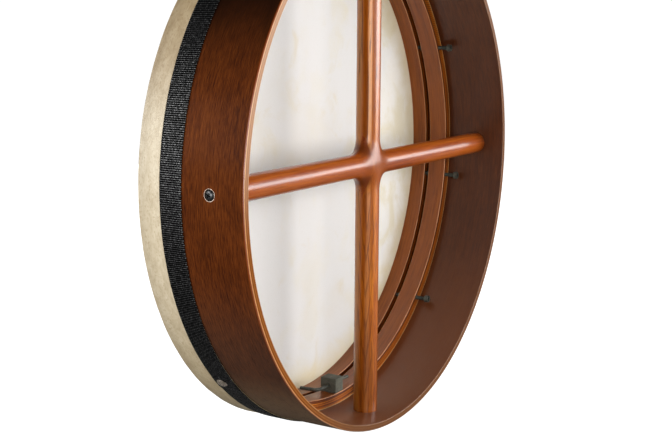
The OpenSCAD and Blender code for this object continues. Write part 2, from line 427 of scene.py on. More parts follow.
# ------------------------------------------------------------------ materials
def shell_material():
    M = Mat("shell_wood")
    x, y, z = M.xyz()
    r = M.radius()
    fine = M.noise(M.scaled(110, 1500, 110), 1, 3, 0.6)
    coarse = M.noise(M.scaled(26, 420, 26, 3.1, 1.7, 9.2), 1, 3, 0.6, 0.3)
    wide = M.noise(M.scaled(11, 20, 11, 5.0, 2.0, 1.0), 1, 4, 0.6, 0.3)
    t, outer = wood_tone(M, fine, coarse, wide, lin(48, 20, 7), lin(81, 38, 13), lin(108, 56, 20), (0.50, 0.12, 0.38), 0.5, 0.15)
    # painted shade: the ring's outside is coloured darker over its upper and lower parts, more so at the top
    far = M.math("ADD", M.math("ABSOLUTE", M.math("SUBTRACT", z, 0.006)), M.math("MULTIPLY", M.math("SUBTRACT", wide, 0.5), 0.10))
    outer = M.mix(M.math("MULTIPLY", M.smooth(far, 0.055, 0.148), M.smooth(z, -0.02, 0.02, 0.35, 1.0)), outer, lin(26, 11, 5))
    # painted reflection: a grey veil of the pale floor is mixed into the lower part of the ring, strongest at the
    # bottom
    outer = M.mix(M.smooth(z, -0.05, -0.15, 0.0, 0.33), outer, lin(62, 57, 51))
    outer = M.mix(M.smooth(z, -0.14, -0.20, 0.0, 0.85), outer, lin(101, 83, 64))
    # short dark pores lying along the grain
    pores = M.noise(M.scaled(120, 1500, 120, 8.0, 0.3, 4.0), 1, 1.5, 0.5)
    pore = M.smooth(pores, 0.58, 0.68)
    outer = M.mix(M.math("MULTIPLY", pore, 0.5), outer, lin(34, 14, 7))
    # the inside is unpolished, browner and finer
    ti, inner = wood_tone(M, fine, coarse, wide, lin(61, 27, 10), lin(80, 39, 13), lin(96, 51, 20))
    inner = M.mix(M.math("MULTIPLY", pore, 0.35), inner, lin(42, 25, 18))
    # painted light: the inside is coloured paler and redder toward the bottom, where light falls on it
    inner = M.mix(M.smooth(z, -0.08, -0.20, 0.0, 0.75), inner, lin(116, 64, 32))
    col = M.mix(M.smooth(r, 0.2231, 0.2240), inner, outer)
    # plies at the two rims
    ply = M.math("MULTIPLY", M.math("SUBTRACT", r, 0.2230), 1 / 0.0056)
    plies = M.ramp(ply, [(0.0, lin(172, 118, 64)), (0.17, lin(162, 108, 55)), (0.20, lin(106, 57, 20)), (0.36, lin(114, 61, 22)), (0.40, lin(142, 85, 37)),
                         (0.58, lin(138, 81, 34)), (0.62, lin(99, 50, 16)), (0.78, lin(112, 59, 21)), (0.82, lin(182, 122, 70)), (1.0, lin(222, 166, 114))])
    rimn = M.noise(M.scaled(160, 900, 160, 1.0, 0.0, 2.0), 1, 3, 0.6)
    plies = M.mix(M.smooth(rimn, 0.35, 0.7, 0.0, 0.35), plies, lin(118, 64, 24))
    # painted highlight: the plies are lightened over the upper left of the rim
    plies = M.mix(M.math("MULTIPLY", M.smooth(z, -0.04, 0.05), M.smooth(x, -0.06, -0.16, 0.0, 0.3)), plies, lin(232, 196, 164))
    # painted shade: the plies are darkened over the right and lower parts of the rim
    plies = M.mix(M.smooth(x, -0.17, -0.06, 0.0, 0.8), plies, lin(98, 67, 47))
    rim = M.math("MAXIMUM", M.smooth(y, -0.03055, -0.03085), M.smooth(y, 0.0655, 0.0658))
    col = M.mix(rim, col, plies)
    # stain worn thin just beside the rim's outer corner
    worn = M.math("MULTIPLY", M.smooth(y, -0.0290, -0.0303), M.smooth(r, 0.2270, 0.2284))
    col = M.mix(M.math("MULTIPLY", worn, M.math("SUBTRACT", 1.0, rim)), col, lin(118, 52, 10))
    corner = M.math("MULTIPLY", M.smooth(y, -0.0297, -0.0303), M.smooth(r, 0.2278, 0.2283))
    # painted shade darkens the inside of the counterbores; bare wood round their mouths
    near = M.math("MINIMUM", M.math("ABSOLUTE", x), M.math("ABSOLUTE", z))
    dist = M.math("SQRT", M.math("ADD", M.math("MULTIPLY", near, near), M.math("MULTIPLY", y, y)))
    bore = M.math("MULTIPLY", M.smooth(dist, 0.00489, 0.00478), M.smooth(r, 0.2262, 0.2266))
    mouth = M.math("MULTIPLY", bore, M.smooth(dist, 0.00453, 0.00459))
    chips = M.smooth(M.noise(M.scaled(800, 800, 800), 1, 2, 0.5), 0.36, 0.52, 0.35, 1.0)
    col = M.mix(bore, col, lin(40, 20, 10))
    col = M.mix(M.math("MULTIPLY", mouth, chips), col, lin(236, 214, 196))
    rough = M.math("ADD", M.smooth(r, 0.2231, 0.2240, 0.42, 0.42), M.math("MULTIPLY", rim, -0.1))
    h = M.math("SUBTRACT", M.math("MULTIPLY", fine, 0.5), M.math("MULTIPLY", pore, 0.7))
    normal = M.bump(h, 0.35, 0.00018)
    coat = M.math("MULTIPLY", M.math("ADD", M.smooth(r, 0.2231, 0.2240, 0.22, 0.01), M.math("ADD", M.math("MULTIPLY", rim, 0.08), M.math("MULTIPLY", corner, 0.6))), M.math("SUBTRACT", 1.0, bore))
    sh = M.principled(Base_Color=col, Roughness=rough, Normal=normal, Specular_IOR_Level=M.math("ADD", M.smooth(r, 0.2231, 0.2240, 0.24, 0.01), M.math("MULTIPLY", corner, 0.5)), Coat_Weight=coat, Coat_Roughness=0.2)
    return M.surface(sh)


def hoop_material():
    M = Mat("hoop_wood")
    x, y, z = M.xyz()
    r = M.radius()
    fine = M.noise(M.scaled(60, 1300, 60, 0.4, 3.3, 2.0), 1, 4, 0.6)
    coarse = M.noise(M.scaled(14, 300, 14, 6.1, 7.7, 1.2), 1, 3, 0.55, 0.3)
    wide = M.noise(M.scaled(8, 90, 8, 2.0, 4.0, 7.0), 1, 2, 0.5)
    t, face = wood_tone(M, fine, coarse, wide, lin(104, 47, 9), lin(134, 68, 15), lin(157, 84, 22))
    # the edges that face the back and the front show sawn layers, with diagonal saw marks
    ang = M.math("ARCTAN2", z, x)
    layer = M.noise(M.vec(M.math("MULTIPLY", r, 1150), M.math("MULTIPLY", x, 7), M.math("MULTIPLY", z, 7)), 1, 3, 0.6)
    edge = M.ramp(layer, [(0.34, lin(72, 30, 6)), (0.47, lin(144, 68, 10)), (0.6, lin(194, 108, 24)), (0.7, lin(214, 140, 54))])
    saw = M.math("SINE", M.math("ADD", M.math("MULTIPLY", ang, 520.0), M.math("MULTIPLY", r, 2100.0)))
    sawm = M.math("MULTIPLY", M.smooth(saw, -0.1, 0.8), M.smooth(M.noise(M.scaled(40, 40, 40), 1, 2, 0.5), 0.35, 0.6, 0.2, 0.7))
    edge = M.mix(sawm, edge, lin(62, 26, 6))
    # nearest the inner corner there is a darker, redder layer
    edge = M.mix(M.smooth(r, 0.2165, 0.2155, 0.0, 0.8), edge, lin(76, 28, 8))
    geo = M.new("ShaderNodeNewGeometry")
    sep = M.new("ShaderNodeSeparateXYZ")
    M.t.links.new(geo.outputs["True Normal"], sep.inputs[0])
    flat = M.smooth(M.math("ABSOLUTE", sep.outputs[1]), 0.80, 0.95)
    col = M.mix(flat, face, edge)
    # stain rubbed off the corners of the hoops: thin pale lines
    corner = M.math("MULTIPLY", M.smooth(M.math("ABSOLUTE", sep.outputs[1]), 0.12, 0.4), M.smooth(M.math("ABSOLUTE", sep.outputs[1]), 0.97, 0.8))
    wear = M.smooth(M.noise(M.scaled(60, 60, 60, 3, 3, 3), 1, 3, 0.6), 0.3, 0.6, 0.45, 1.0)
    col = M.mix(M.math("MULTIPLY", corner, wear), col, lin(206, 146, 100))
    # a thin line of pale glue where the fixed hoop meets the shell
    glue = M.math("MULTIPLY", M.smooth(r, 0.22205, 0.2223), flat)
    col = M.mix(M.math("MULTIPLY", glue, 0.85), col, lin(196, 160, 112))
    h = M.math("ADD", M.math("MULTIPLY", fine, 0.5), M.math("MULTIPLY", M.math("MULTIPLY", saw, flat), 0.4))
    normal = M.bump(h, 0.3, 0.0002)
    sh = M.principled(Base_Color=col, Roughness=0.42, Normal=normal, Specular_IOR_Level=0.2, Coat_Weight=M.smooth(flat, 0.0, 1.0, 0.5, 0.2), Coat_Roughness=0.3)
    return M.surface(sh)


def bar_material(name, axis, seed, lo, mid, hi, dark):
    M = Mat(name)
    x, y, z = M.xyz()
    l = 0.045
    def sc(k, ox=0.0, oy=0.0, oz=0.0):
        return M.scaled(k * l, k, k, ox, oy, oz) if axis == "x" else M.scaled(k, k, k * l, ox, oy, oz)
    fine = M.noise(sc(1500, seed, 1, 2), 1, 4, 0.65)
    coarse = M.noise(sc(330, seed + 4, 5, 6), 1, 3, 0.55, 0.6)
    wide = M.noise(sc(120, seed + 7, 8, 1), 1, 2, 0.5, 0.3)
    t, col = wood_tone(M, fine, coarse, wide, lo, mid, hi, (0.26, 0.40, 0.34), 0.5, 0.13)
    streak = M.smooth(M.noise(sc(520, seed + 2, 2, 9), 1, 2.5, 0.6, 0.4), 0.57, 0.70)
    if axis == "z":
        # painted shade and highlight across the upright's side that faces the camera: a darker band over a dark streak
        # of grain, then a paler band of painted highlight, run its length
        wob = M.math("MULTIPLY", M.math("SUBTRACT", wide, 0.5), 0.5)
        side = M.math("ADD", M.math("ADD", M.math("MULTIPLY", x, 0.5225 / 0.0106), M.math("MULTIPLY", y, -0.8526 / 0.0106)), wob)
        near = M.smooth(M.math("ADD", M.math("MULTIPLY", x, -0.8526), M.math("MULTIPLY", y, -0.5225)), 0.0, 0.003)
        painted_light_band = M.math("MULTIPLY", M.smooth(side, -0.58, -0.42), M.smooth(side, -0.10, -0.22))
        col = M.mix(M.math("MULTIPLY", M.math("MULTIPLY", painted_light_band, near), M.smooth(z, -0.06, 0.03, 0.4, 0.6)), col, lin(156, 76, 2))
        painted_light_band = M.math("MULTIPLY", M.smooth(side, -0.16, -0.04), M.smooth(side, 0.30, 0.12))
        col = M.mix(M.math("MULTIPLY", M.math("MULTIPLY", painted_light_band, near), M.smooth(z, -0.06, 0.03, 0.26, 0.85)), col, lin(240, 156, 74))
        # painted reflection of the skin: the edge beyond the dark band is lightened
        col = M.mix(M.math("MULTIPLY", M.math("MULTIPLY", M.smooth(side, -0.45, -0.75), near), 0.75), col, lin(188, 122, 44))
        # nested pointed grain lines on the lower half
        off = M.math("ABSOLUTE", M.math("ADD", side, 0.05))
        vee = M.math("SUBTRACT", z, M.math("MULTIPLY", off, 0.075))
        line = M.math("SINE", M.math("ADD", M.math("MULTIPLY", vee, 2 * math.pi / 0.031), M.math("MULTIPLY", M.math("SUBTRACT", coarse, 0.5), 4.5)))
        vein = M.math("MULTIPLY", M.smooth(line, 0.45, 1.0), M.smooth(off, 0.80, 0.40, 0.15, 1.0))
        col = M.mix(M.math("MULTIPLY", M.math("MULTIPLY", vein, near), M.smooth(z, -0.015, -0.05, 0.0, 0.42)), col, lin(80, 36, 8))
        # painted shade: the upright is coloured darker toward its lower end
        col = M.mix(M.smooth(z, -0.12, -0.20, 0.0, 0.50), col, lin(92, 42, 13))
    ax, az = M.math("ABSOLUTE", x), M.math("ABSOLUTE", z)
    # the two bars are sanded and stained to one tone where they cross
    cross = M.smooth(M.math("MAXIMUM", ax, az), 0.026, 0.011)
    col = M.mix(M.math("MULTIPLY", cross, 0.8), col, lin(132, 62, 12))
    col = M.mix(M.math("MULTIPLY", M.math("MULTIPLY", streak, dark), M.math("MULTIPLY_ADD", cross, -0.8, 1.0)), col, lin(66, 26, 6))
    pore = M.smooth(M.noise(sc(2600, seed + 9, 3, 3), 1, 1.0, 0.5), 0.64, 0.74)
    col = M.mix(M.math("MULTIPLY", pore, dark * 0.8), col, lin(48, 18, 6))
    # painted shade darkens the hollows beside the crossing
    hollow_painted_shade = M.math("MULTIPLY", M.smooth(M.math("MINIMUM", ax, az), 0.0072, 0.0108), M.smooth(M.math("MAXIMUM", ax, az), 0.024, 0.014))
    col = M.mix(M.math("MULTIPLY", hollow_painted_shade, 0.65), col, lin(84, 34, 4))
    hgt = M.math("SUBTRACT", M.math("MULTIPLY", fine, 0.4), M.math("MULTIPLY", pore, 0.7))
    normal = M.bump(hgt, 0.2, 0.00012)
    sh = M.principled(Base_Color=col, Roughness=0.38, Normal=normal, Specular_IOR_Level=0.05, Coat_Weight=M.math("MULTIPLY_ADD", cross, -0.32, 0.85), Coat_Roughness=0.26 if axis == "x" else 0.24, Coat_IOR=1.55)
    return M.surface(sh)


def skin_material():
    M = Mat("goatskin")
    x, y, z = M.xyz()
    r = M.radius()
    big = M.noise(M.scaled(9, 9, 9, 2.2, 0, 5.1), 1, 4, 0.6, 0.6)
    mid = M.noise(M.scaled(30, 30, 30, 7, 0, 3), 1, 4, 0.6, 0.8)
    spine = M.noise(M.scaled(26, 26, 4.5, 1, 0, 8), 1, 3, 0.55, 0.5)
    hair = M.noise(M.scaled(900, 900, 900), 1, 2, 0.6)
    # painted light: the skin's colour brightens toward +X to make up for the shade that falls there
    right_painted_light = M.smooth(M.math("ADD", x, M.math("MULTIPLY", M.math("SUBTRACT", big, 0.5), 0.08)), 0.08, 0.19)
    face = M.mix(right_painted_light, lin(224, 222, 220), lin(245, 243, 239))
    face = M.mix(M.smooth(big, 0.48, 0.72, 0.0, 0.6), face, (0.96, 0.93, 0.87), "MULTIPLY")
    face = M.mix(M.math("MULTIPLY", M.smooth(mid, 0.54, 0.74), M.smooth(spine, 0.40, 0.62, 0.06, 0.55)), face, lin(212, 198, 166))
    # greenish yellow patches on the side of the skin beyond the upright bar
    patch = M.math("MULTIPLY", M.smooth(M.noise(M.scaled(24, 24, 20, 3.3, 0, 6.4), 1, 4, 0.6, 0.8), 0.47, 0.66), M.smooth(M.math("ADD", x, M.math("MULTIPLY", z, 0.15)), 0.04, 0.15, 0.25, 1.0))
    face = M.mix(M.math("MULTIPLY", patch, 0.5), face, lin(220, 208, 168))
    edge = M.smooth(M.math("ADD", r, M.math("MULTIPLY", M.math("SUBTRACT", mid, 0.5), 0.03)), 0.186, 0.216, 0.0, 0.75)
    face = M.mix(edge, face, lin(222, 208, 172))
    face = M.mix(M.smooth(hair, 0.58, 0.75, 0.0, 0.10), face, lin(150, 130, 100))
    # the flap down the outside: drier, browner and streaked round the drum
    fs = M.noise(M.scaled(30, 210, 30, 4, 1, 1), 1, 4, 0.6, 0.4)
    fb = M.noise(M.scaled(85, 170, 85, 6, 2, 4), 1, 4, 0.65, 0.5)
    ff = M.noise(M.scaled(420, 700, 420), 1, 3, 0.6)
    flap = M.ramp(M.math("ADD", M.math("MULTIPLY", fs, 0.35), M.math("MULTIPLY", fb, 0.65)), [(0.30, lin(164, 148, 119)), (0.5, lin(188, 174, 147)), (0.70, lin(204, 193, 169))])
    flap = M.mix(M.math("MULTIPLY", M.smooth(ff, 0.48, 0.70), M.smooth(fs, 0.35, 0.62, 0.15, 0.60)), flap, lin(142, 118, 80))
    # painted shade: the flap is darkened above and below the side lamp's level, more at the top, and toward the front
    # edge
    flap = M.mix(M.smooth(M.math("ABSOLUTE", M.math("ADD", z, 0.01)), 0.05, 0.19, 0.0, 1.0), flap, (0.76, 0.70, 0.57), "MULTIPLY")
    flap = M.mix(M.smooth(z, 0.04, 0.10), flap, (0.84, 0.79, 0.74), "MULTIPLY")
    flap = M.mix(M.smooth(y, 0.052, 0.066), flap, (0.84, 0.83, 0.82), "MULTIPLY")
    out = M.smooth(r, 0.2262, 0.2288)
    col = M.mix(out, face, flap)
    hgt = M.math("ADD", M.math("MULTIPLY", ff, 0.6), M.math("MULTIPLY", fb, 1.2))
    normal = M.bump(hgt, M.math("MULTIPLY_ADD", out, 0.35, 0.06), 0.0003)
    sh = M.principled(Base_Color=col, Roughness=0.5, Normal=normal, Specular_IOR_Level=M.math("MULTIPLY_ADD", out, 0.55, 0.15))
    tr = M.new("ShaderNodeBsdfTranslucent")
    M.put(tr.inputs["Color"], M.mix(0.4, col, lin(255, 254, 252)))
    mixs = M.new("ShaderNodeMixShader")
    M.put(mixs.inputs[0], M.math("MULTIPLY", M.math("SUBTRACT", 1.0, out), 0.42))
    M.t.links.new(sh, mixs.inputs[1])
    M.t.links.new(tr.outputs[0], mixs.inputs[2])
    return M.surface(mixs.outputs[0])


RIBS = 850


def tape_material():
    M = Mat("ribbed_tape")
    x, y, z = M.xyz()
    ang = M.math("ARCTAN2", z, x)
    u = M.math("MULTIPLY", ang, RIBS / (2 * math.pi))
    rib = M.math("ABSOLUTE", M.math("SINE", M.math("MULTIPLY", u, math.pi)))
    cell = M.vec(M.math("FLOOR", u), M.math("FLOOR", M.math("MULTIPLY", y, 1 / 0.00062)), 0.5)
    white = M.new("ShaderNodeTexWhiteNoise", noise_dimensions="3D")
    M.put(white.inputs["Vector"], cell)
    ribcell = M.new("ShaderNodeTexWhiteNoise", noise_dimensions="1D")
    M.put(ribcell.inputs["W"], M.math("FLOOR", u))
    # painted highlight and glints: the crests of the ribs are coloured lighter, brightest at random specks; each rib's
    # strength also varies at random
    spark = M.math("POWER", white.outputs["Value"], 3.0)
    crest = M.smooth(rib, 0.55, 0.98)
    tone = M.math("MULTIPLY", crest, M.math("ADD", 0.15, M.math("MULTIPLY", spark, 1.2)))
    tone = M.math("MULTIPLY", tone, M.math("MULTIPLY_ADD", ribcell.outputs["Value"], 0.8, 0.6))
    col = M.mix(M.math("MULTIPLY", tone, 0.5), lin(2, 2, 2), lin(30, 30, 31))
    # loops of thread along the edge on the wood's side
    back = M.smooth(y, 0.0260, 0.0256)
    loop = M.smooth(M.math("SINE", M.math("MULTIPLY", u, math.pi)), 0.55, 0.9)
    col = M.mix(M.math("MULTIPLY", back, loop), col, lin(50, 49, 47))
    th = M.noise(M.vec(M.math("MULTIPLY", x, 500), M.math("MULTIPLY", y, 3200), M.math("MULTIPLY", z, 500)), 1, 2, 0.6)
    normal = M.bump(M.math("ADD", th, M.math("MULTIPLY", white.outputs["Value"], 0.6)), 0.28, 0.0004)
    sh = M.principled(Base_Color=col, Roughness=0.40, Normal=normal, Specular_IOR_Level=M.math("MULTIPLY", M.math("MULTIPLY", crest, M.math("ADD", 0.25, spark)), 1.25))
    return M.surface(sh)


def nickel_material():
    M = Mat("nickel")
    n = M.noise(M.scaled(700, 700, 700), 1, 4, 0.6)
    n2 = M.noise(M.scaled(260, 260, 260, 4, 2, 1), 1, 3, 0.5)
    col = M.ramp(n2, [(0.3, lin(150, 138, 120)), (0.6, lin(214, 200, 184)), (0.8, lin(226, 214, 204))])
    rough = M.linear(n, 0.3, 0.7, 0.16, 0.34)
    sh = M.principled(Base_Color=col, Metallic=1.0, Roughness=rough, Normal=M.bump(n, 0.12, 0.0001))
    return M.surface(sh)


def steel_material():
    M = Mat("black_steel")
    n = M.noise(M.scaled(900, 900, 900), 1, 4, 0.6)
    n2 = M.noise(M.scaled(240, 240, 240, 1, 2, 3), 1, 3, 0.5)
    col = M.ramp(n2, [(0.3, lin(48, 50, 44)), (0.55, lin(74, 76, 67)), (0.75, lin(100, 100, 88))])
    rough = M.linear(n, 0.3, 0.7, 0.30, 0.50)
    sh = M.principled(Base_Color=col, Metallic=0.2, Roughness=rough, Specular_IOR_Level=0.5, Normal=M.bump(n, 0.15, 0.0001))
    return M.surface(sh)


def blackened_material():
    M = Mat("blackened_steel")
    n = M.noise(M.scaled(900, 900, 900), 1, 4, 0.6)
    sh = M.principled(Base_Color=M.ramp(n, [(0.3, lin(8, 8, 9)), (0.7, lin(20, 20, 20))]), Metallic=0.2, Roughness=M.linear(n, 0.3, 0.7, 0.24, 0.36),
                      Specular_IOR_Level=0.6, Normal=M.bump(n, 0.12, 0.0001))
    return M.surface(sh)


def rubber_material():
    M = Mat("block_rubber")
    n = M.noise(M.scaled(1500, 1500, 1500), 1, 3, 0.6)
    n2 = M.noise(M.scaled(180, 180, 180, 3, 1, 2), 1, 4, 0.6)
    col = M.ramp(M.math("ADD", M.math("MULTIPLY", n, 0.35), M.math("MULTIPLY", n2, 0.65)), [(0.3, lin(66, 66, 58)), (0.55, lin(88, 87, 76)), (0.75, lin(109, 107, 94))])
    sh = M.principled(Base_Color=col, Roughness=0.82, Specular_IOR_Level=0.3, Normal=M.bump(M.math("ADD", n, n2), 0.4, 0.0002))
    return M.surface(sh)


SHELL, HOOP, SKIN, TAPE = shell_material(), hoop_material(), skin_material(), tape_material()
NICKEL, STEEL, BLACK, RUBBER = nickel_material(), steel_material(), blackened_material(), rubber_material()
UPWOOD = bar_material("bar_wood_upright", "z", 3.0, lin(98, 42, 2), lin(160, 80, 8), lin(198, 112, 20), 0.55)
LVWOOD = bar_material("bar_wood_level", "x", 11.0, lin(112, 43, 6), lin(146, 66, 10), lin(168, 86, 20), 0.3)

# ------------------------------------------------------------------ shell
prof = rounded([(223.0, 0), (228.6, 0), (228.6, 97), (223.0, 97)], [0.6, 0.9, 0.9, 0.6], seg=5, hold=0.5, step=7.5)
shell = ring("shell_wood_ring", prof, SHELL, n=384)
cutters = []
for k, (dx, dz) in enumerate(((1, 0), (-1, 0), (0, 1), (0, -1))):
    cutters.append(rod(f"cut_a{k}", (dx * 219, 0, dz * 219), (dx, 0, dz), 2.15, 12, 32))
    cutters.append(rod(f"cut_b{k}", (dx * 227.2, 0, dz * 227.2), (dx, 0, dz), 4.54, 1.75, 64, flare=(4.90, 0.36)))
shell = boolean(shell, cutters)

# ------------------------------------------------------------------ skin
ang_n = 360
inner = rounded([(0, 98.22), (221.6, 98.22), (228.64, 97.05), (228.64, 57.0)], [0, 5, 0.6, 0], seg=4, hold=0.4, closed=False, step=4.0)
outer = rounded([(228.64, 57.0), (229.22, 57.0), (229.22, 97.55), (221.7, 98.82), (0, 98.82)], [0, 0.2, 1.1, 5, 0], seg=5, hold=0.4, closed=False, step=4.0)
prof = np.vstack([inner[1:], outer[1:-1]])
A = np.arange(ang_n) * 2 * math.pi / ang_n
R = np.repeat(prof[:, :1], ang_n, 1)
D = np.repeat(prof[:, 1:2], ang_n, 1)
AA = np.repeat(A[None], len(prof), 0)
# the dried flap is slightly uneven where it shows between the tape and the front edge
show = np.clip((D - 77.0) / 4.0, 0, 1) * np.clip((R - 228.0) / 1.0, 0, 1)
wave = sum(a * np.sin(k * AA + p + D * q) for a, k, p, q in ((0.06, 23, 0.4, 0.11), (0.05, 41, 2.0, -0.2), (0.04, 67, 1.1, 0.33), (0.03, 113, 4.0, -0.5)))
R = R + show * np.clip(wave + 0.02, -0.1, 0.16)
P = np.stack([R * np.cos(AA), D - GRIP, R * np.sin(AA)], -1)
head = grid_mesh("head_skin_sheet", P, SKIN, caps=((0, 98.22 - GRIP, 0), (0, 98.82 - GRIP, 0)), sharp=50)

# ------------------------------------------------------------------ tape
LAP0, LAP1 = math.radians(-136.9), math.radians(-131.9)
cols = RIBS * 6
a = -math.pi + np.arange(cols) * 2 * math.pi / cols
u = (a / (2 * math.pi) * RIBS) % 1.0
ridge = np.abs(np.sin(math.pi * u)) ** 0.7
dl = (a - LAP0)
lift = np.where((dl >= 0), np.clip((LAP1 - a) / math.radians(1.6), 0, 1), 0.0)
lift = lift * lift * (3 - 2 * lift)
shift = np.where(dl >= 0, np.exp(-np.clip(dl, 0, None) / math.radians(9)), 0.0)
rows_y = np.array([0.0, 0.25, 0.9, 1.6, 4.0, 7.0, 10.0, 13.0, 16.0, 19.0, 19.8, 20.35, 20.6])
top = np.array([0.25, 0.55, 0.70, 0.70, 0.70, 0.70, 0.70, 0.70, 0.70, 0.70, 0.66, 0.50, 0.22])
amp = np.array([0.10, 0.20, 0.20, 0.20, 0.20, 0.20, 0.20, 0.20, 0.20, 0.20, 0.20, 0.16, 0.08])
loop = np.where(np.floor(a / (2 * math.pi) * RIBS).astype(int) % 2 == 0, np.sin(math.pi * u), 0.0)
Rt, Dt = [], []
jit = np.repeat(RNG.normal(0, 0.07, RIBS), 6)
for yy, tt, am in zip(rows_y, top, amp):
    fr = yy / 20.6
    Rt.append(229.24 + tt - am * (1 - ridge) + 0.7 * lift)
    edge = (1 - fr) ** 8 * (0.28 * loop) + (fr ** 8) * (0.12 * ridge)
    Dt.append(56.1 + 0.15 + yy * (1 - 0.3 / 20.6) - (1 - fr) ** 8 * (0.15 * 1) * 0 - (1 - fr) ** 12 * 0.28 * loop + fr ** 12 * 0.12 * ridge - 0.75 * shift * fr ** 2 + 0.0 * edge)
for yy in (20.3, 10.0, 0.3):
    Rt.append(np.full(cols, 229.245) + 0.0 * lift)
    Dt.append(56.1 + yy + 0 * a - 0.75 * shift * (yy / 20.6) ** 2)
Rt, Dt = np.array(Rt), np.array(Dt)
P = np.stack([Rt * np.cos(a)[None], Dt - GRIP, Rt * np.sin(a)[None]], -1)
tape = grid_mesh("edge_tape_band", P, TAPE, wrap_v=True, sharp=75)

# ------------------------------------------------------------------ tack
ta = math.radians(-136.9 + 1.6)
ball = (4.8 ** 2 + 2.2 ** 2) / (2 * 2.2)
prof = [(0, -5.8), (0.45, -5.2), (0.9, -4.3), (0.9, -0.1), (4.55, -0.0), (4.78, 0.06), (4.8, 0.16)]
for k in range(1, 13):
    rr = 4.8 * (1 - k / 12)
    prof.append((rr, math.sqrt(max(ball ** 2 - rr ** 2, 0)) - ball + 2.2 + 0.12 * (1 - k / 12)))
v, f = turned(prof, 64)
tr = 230.66
tack = build("tape_tack_dome", [(v, f, place(tr * math.cos(ta), 68.5 - GRIP, tr * math.sin(ta), (math.cos(ta), 0, math.sin(ta)), (0, 1, 0)))], NICKEL)

# ------------------------------------------------------------------ hoops
SCREW_R, A0 = 216.7, -9.2
screw_at = []
for i in range(10):
    t = math.radians(A0 + 36 * i)
    screw_at.append((SCREW_R * math.cos(t), SCREW_R * math.sin(t)))
prof = rounded([(213.0, 83.0), (222.2, 83.0), (222.2, 98.2), (213.0, 98.2)], [0.8, 0.7, 0.5, 0.6], seg=4, hold=0.35, step=4.0)
tuning = ring("tuning_hoop_ring", prof, HOOP, n=360)
tuning = boolean(tuning, [rod(f"cut_t{i}", (x, 80.0 - GRIP, z), (0, 1, 0), 2.06, 5.25, 24) for i, (x, z) in enumerate(screw_at)])
prof = rounded([(213.0, 60.0), (222.98, 60.0), (222.98, 78.6), (213.0, 78.6)], [0.8, 0.3, 0.3, 0.8], seg=4, hold=0.35, step=4.0)
fixed = ring("fixed_hoop_ring", prof, HOOP, n=360)
v, f = turned([(0, 0), (2.3, 0), (2.3, 14.65), (2.77, 14.65), (2.77, 30), (0, 30)], 28)
fixed = boolean(fixed, [build(f"cut_f{i}", [(v, f, place(x, 55.0 - GRIP, z, (0, 1, 0), (1, 0, 0)))], None) for i, (x, z) in enumerate(screw_at)])

# ------------------------------------------------------------------ T-nuts
prof = [(2.06, 0.2), (2.3, 0.0), (2.65, 0.0), (2.75, 0.15), (2.75, 8.92), (3.45, 8.92), (3.6, 9.05), (3.6, 9.75), (3.45, 9.9), (2.4, 9.9), (2.06, 9.65)]
prof = prof + prof[:1]
v, f = turned(prof, 40, False, False)
tnuts = build("t_nuts_set", [(v, f, place(x, 69.7 - GRIP, z, (0, 1, 0), (1, 0, 0))) for x, z in screw_at], STEEL, weld=1e-7)


# ------------------------------------------------------------------ tuning screws
def head_shape(teeth, cols_per_tooth=3):
    n = teeth * cols_per_tooth
    knurl_rows = {2, 3}
    prof = [(0, 0.0), (3.15, 0.0), (3.5, 0.3), (3.5, 3.35), (3.18, 3.88), (2.95, 4.0), (2.02, 4.0), (1.74, 3.86), (1.74, 2.05), (0, 1.55)]

    def shape(a, r, z, k):
        if k in knurl_rows:
            t = (a * teeth / (2 * math.pi)) % 1.0
            return r - 0.16 * abs(2 * t - 1) ** 1.2, z
        if k in (7, 8):
            s = (a + math.pi / 6) % (math.pi / 3) - math.pi / 6
            return 1.5 / math.cos(s), z
        return r, z
    return turned(prof, n, True, True, shape)


def thread(length, r_out, r_in, pitch, m=20):
    """A threaded shank hanging down from z = 0 to z = -length, with run-out at both ends."""
    prof = [r_in, (r_in + r_out) / 2 + 0.02, r_out, (r_in + r_out) / 2 + 0.02]
    rows = int(length / pitch * 4) + 9
    verts, faces = [], []
    for k in range(rows):
        for j in range(m):
            z = (k - 4) * pitch / 4 + j / m * pitch
            r = prof[k % 4]
            taper = r_in - 0.25 + max(0.0, min(1.0, z / 0.75)) * (r_out - r_in + 0.25)
            if z <= 0:
                z, r = 0.0, r_in - 0.25
            elif z >= length:
                z, r = length, r_in
            r = min(r, taper) if z < 0.75 else r
            a = 2 * math.pi * j / m
            verts.append((r * math.cos(a), r * math.sin(a), z - length))
    for k in range(rows - 1):
        for j in range(m):
            if j < m - 1:
                faces.append((k * m + j, k * m + j + 1, (k + 1) * m + j + 1, (k + 1) * m + j))
            elif k + 5 < rows:
                faces.append((k * m + j, (k + 4) * m, (k + 5) * m, (k + 1) * m + j))
    return verts, faces


def close_holes(bm):
    edges = [e for e in bm.edges if e.is_boundary]
    if edges:
        bmesh.ops.holes_fill(bm, edges=edges, sides=0)


